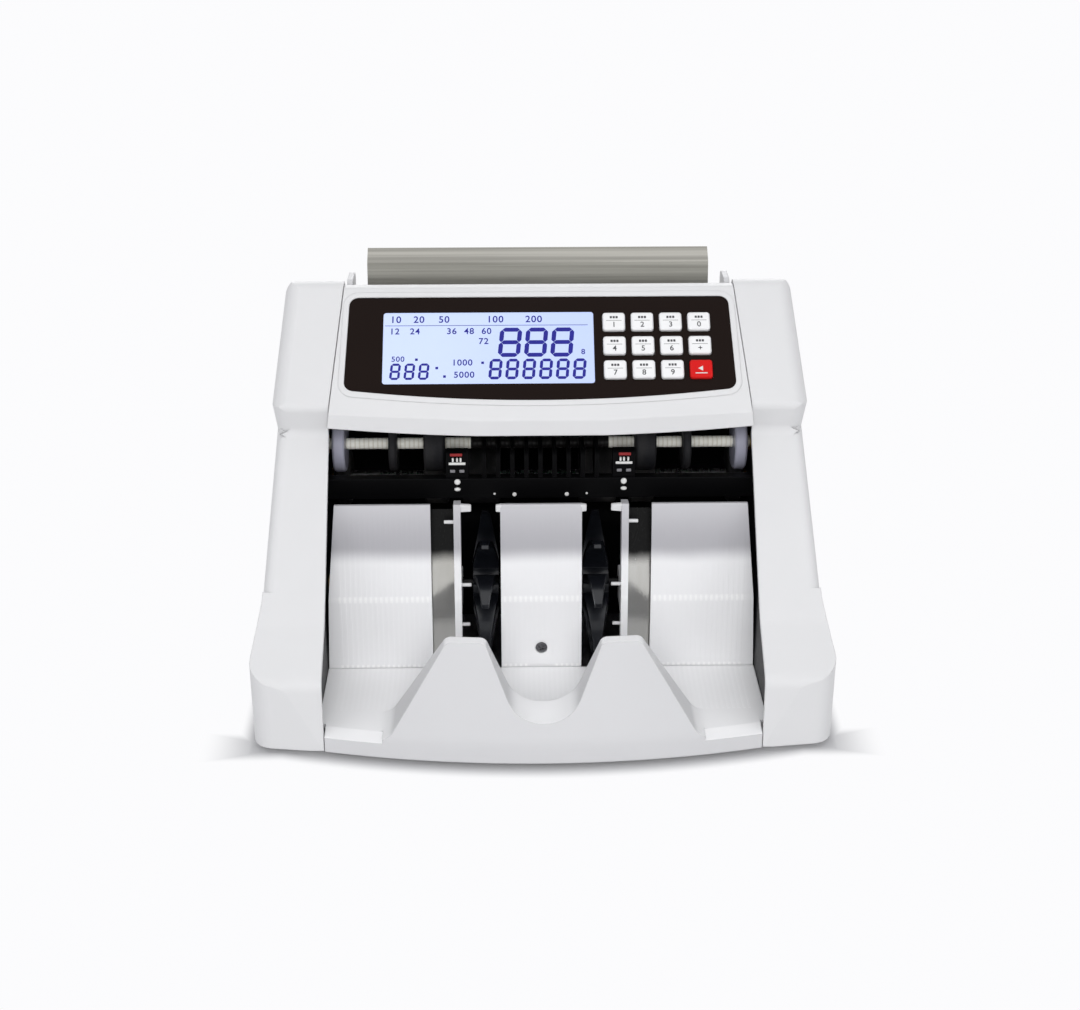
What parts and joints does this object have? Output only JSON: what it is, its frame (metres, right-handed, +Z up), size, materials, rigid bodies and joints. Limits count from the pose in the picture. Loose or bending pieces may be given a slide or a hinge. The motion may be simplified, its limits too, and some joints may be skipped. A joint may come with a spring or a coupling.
{
  "type": "banknote counting machine",
  "caption": "Free-standing banknote counter: rear hopper and steel rest, sloped keypad and display head, driven rollers, and an open stacker tray with paired fans.",
  "frame": {"origin": "middle of the body's footprint, on the surface that the rubber feet stand on", "axes": "+X to the operator's right, -Y towards the operator, +Z up"},
  "size_m": [0.29, 0.245, 0.207],
  "materials": {
    "housing_white": "satin moulded ABS, light grey-white",
    "face_black": "smooth printed polycarbonate, near black",
    "display_lens": "clear lens over a lit pale blue display",
    "key_white": "moulded white keys",
    "key_red": "moulded red key",
    "brushed_plate": "brushed stainless sheet",
    "frame_steel": "zinc plated sheet",
    "shaft_steel": "ground steel",
    "shaft_cream": "cream plastic sleeve",
    "black_plastic": "black moulded ABS",
    "black_rubber": "black rubber",
    "wheel_grey": "grey translucent urethane",
    "guide_grey": "dark grey moulded plastic",
    "board_green": "glass-fibre board",
    "bush_brass": "sintered bronze",
    "mat_grey": "silicone",
    "screw_steel": "bright plated"
  },
  "bodies": {
    "housing": {"left_side_cover": "housing_white", "right_side_cover": "housing_white", "control_head": "housing_white", "rear_cover": "housing_white", "stacker_tray": "housing_white", "stacker_back": "housing_white", "hopper_deck": "housing_white", "face_panel": "face_black", "display_window": "display_lens", "hopper_back_plate": "brushed_plate", "stacker_chute": "brushed_plate", "base_pan": "frame_steel", "left_frame_plate": "frame_steel", "right_frame_plate": "frame_steel", "drive_motor": "frame_steel", "cross_rods": "shaft_steel", "exit_comb": "black_plastic", "sensor_holders": "black_plastic", "upper_guide": "black_plastic", "lower_guide": "black_plastic", "power_inlet": "black_plastic", "display_module": "black_plastic", "rubber_feet": "black_rubber", "drive_belt": "black_rubber", "fan_belt": "black_rubber", "pickup_belt": "black_rubber", "separator_block": "black_rubber", "control_board": "board_green", "main_board": "board_green", "shaft_bushes": "bush_brass", "keypad_mat": "mat_grey", "housing_screws": "screw_steel"},
    "transport": {"transport_shaft": "shaft_steel", "transport_rollers": "black_rubber", "transport_pulleys": "black_plastic"},
    "pinch": {"pinch_shaft": "shaft_cream", "pinch_end_wheels": "wheel_grey", "pinch_discs": "black_rubber"},
    "pickup": {"pickup_shaft": "shaft_steel", "pickup_rollers": "black_rubber", "pickup_pulley": "black_plastic"},
    "fans": {"fan_shaft": "shaft_steel", "stacker_fans": "black_rubber", "fan_pulley": "black_plastic"},
    "motor_rotor": {"motor_pulley": "shaft_steel"},
    "left_guide": {"left_note_guide": "guide_grey"},
    "right_guide": {"right_note_guide": "guide_grey"},
    "rocker": {"power_rocker": "black_plastic"},
    "key_1": {"key_1": "key_white"},
    "key_2": {"key_2": "key_white"},
    "key_3": {"key_3": "key_white"},
    "key_add": {"key_add": "key_white"},
    "key_4": {"key_4": "key_white"},
    "key_5": {"key_5": "key_white"},
    "key_6": {"key_6": "key_white"},
    "key_batch": {"key_batch": "key_white"},
    "key_7": {"key_7": "key_white"},
    "key_8": {"key_8": "key_white"},
    "key_9": {"key_9": "key_white"},
    "key_start": {"key_start": "key_red"}
  },
  "joints": [
    {"name": "transport_spin", "type": "hinge", "parent": "housing", "child": "transport", "pos_m": [0, 0.02561, 0.09215], "axis": [1, 0, 0], "continuous": true},
    {"name": "pinch_spin", "type": "hinge", "parent": "housing", "child": "pinch", "pos_m": [0, 0.01, 0.11812], "axis": [1, 0, 0], "continuous": true},
    {"name": "pickup_spin", "type": "hinge", "parent": "housing", "child": "pickup", "pos_m": [0, 0.046, 0.11117], "axis": [1, 0, 0], "continuous": true},
    {"name": "fan_spin", "type": "hinge", "parent": "housing", "child": "fans", "pos_m": [0, -0.0175, 0.0487], "axis": [1, 0, 0], "continuous": true},
    {"name": "motor_spin", "type": "hinge", "parent": "housing", "child": "motor_rotor", "pos_m": [0, 0.0745, 0.045], "axis": [1, 0, 0], "continuous": true},
    {"name": "left_guide_slide", "type": "slide", "parent": "housing", "child": "left_guide", "axis": [1, 0, 0], "range_m": [0, 0.046]},
    {"name": "right_guide_slide", "type": "slide", "parent": "housing", "child": "right_guide", "axis": [-1, 0, 0], "range_m": [0, 0.046]},
    {"name": "rocker_tilt", "type": "hinge", "parent": "housing", "child": "rocker", "pos_m": [-0.066, 0.118, 0.0565], "axis": [1, 0, 0], "range_deg": [-18, 0]},
    {"name": "key_1_press", "type": "slide", "parent": "housing", "child": "key_1", "axis": [0, 0.6691, -0.7431], "range_m": [0, 0.0008], "stiffness_N_per_m": 800},
    {"name": "key_2_press", "type": "slide", "parent": "housing", "child": "key_2", "axis": [0, 0.6691, -0.7431], "range_m": [0, 0.0008], "stiffness_N_per_m": 800},
    {"name": "key_3_press", "type": "slide", "parent": "housing", "child": "key_3", "axis": [0, 0.6691, -0.7431], "range_m": [0, 0.0008], "stiffness_N_per_m": 800},
    {"name": "key_add_press", "type": "slide", "parent": "housing", "child": "key_add", "axis": [0, 0.6691, -0.7431], "range_m": [0, 0.0008], "stiffness_N_per_m": 800},
    {"name": "key_4_press", "type": "slide", "parent": "housing", "child": "key_4", "axis": [0, 0.6691, -0.7431], "range_m": [0, 0.0008], "stiffness_N_per_m": 800},
    {"name": "key_5_press", "type": "slide", "parent": "housing", "child": "key_5", "axis": [0, 0.6691, -0.7431], "range_m": [0, 0.0008], "stiffness_N_per_m": 800},
    {"name": "key_6_press", "type": "slide", "parent": "housing", "child": "key_6", "axis": [0, 0.6691, -0.7431], "range_m": [0, 0.0008], "stiffness_N_per_m": 800},
    {"name": "key_batch_press", "type": "slide", "parent": "housing", "child": "key_batch", "axis": [0, 0.6691, -0.7431], "range_m": [0, 0.0008], "stiffness_N_per_m": 800},
    {"name": "key_7_press", "type": "slide", "parent": "housing", "child": "key_7", "axis": [0, 0.6691, -0.7431], "range_m": [0, 0.0008], "stiffness_N_per_m": 800},
    {"name": "key_8_press", "type": "slide", "parent": "housing", "child": "key_8", "axis": [0, 0.6691, -0.7431], "range_m": [0, 0.0008], "stiffness_N_per_m": 800},
    {"name": "key_9_press", "type": "slide", "parent": "housing", "child": "key_9", "axis": [0, 0.6691, -0.7431], "range_m": [0, 0.0008], "stiffness_N_per_m": 800},
    {"name": "key_start_press", "type": "slide", "parent": "housing", "child": "key_start", "axis": [0, 0.6691, -0.7431], "range_m": [0, 0.0008], "stiffness_N_per_m": 800}
  ],
  "couplings": [
    {"joint": "pinch_spin", "follows": "transport_spin", "ratio": -1},
    {"joint": "pickup_spin", "follows": "transport_spin", "ratio": 1},
    {"joint": "fan_spin", "follows": "transport_spin", "ratio": 0.5},
    {"joint": "motor_spin", "follows": "transport_spin", "ratio": 2}
  ]
}
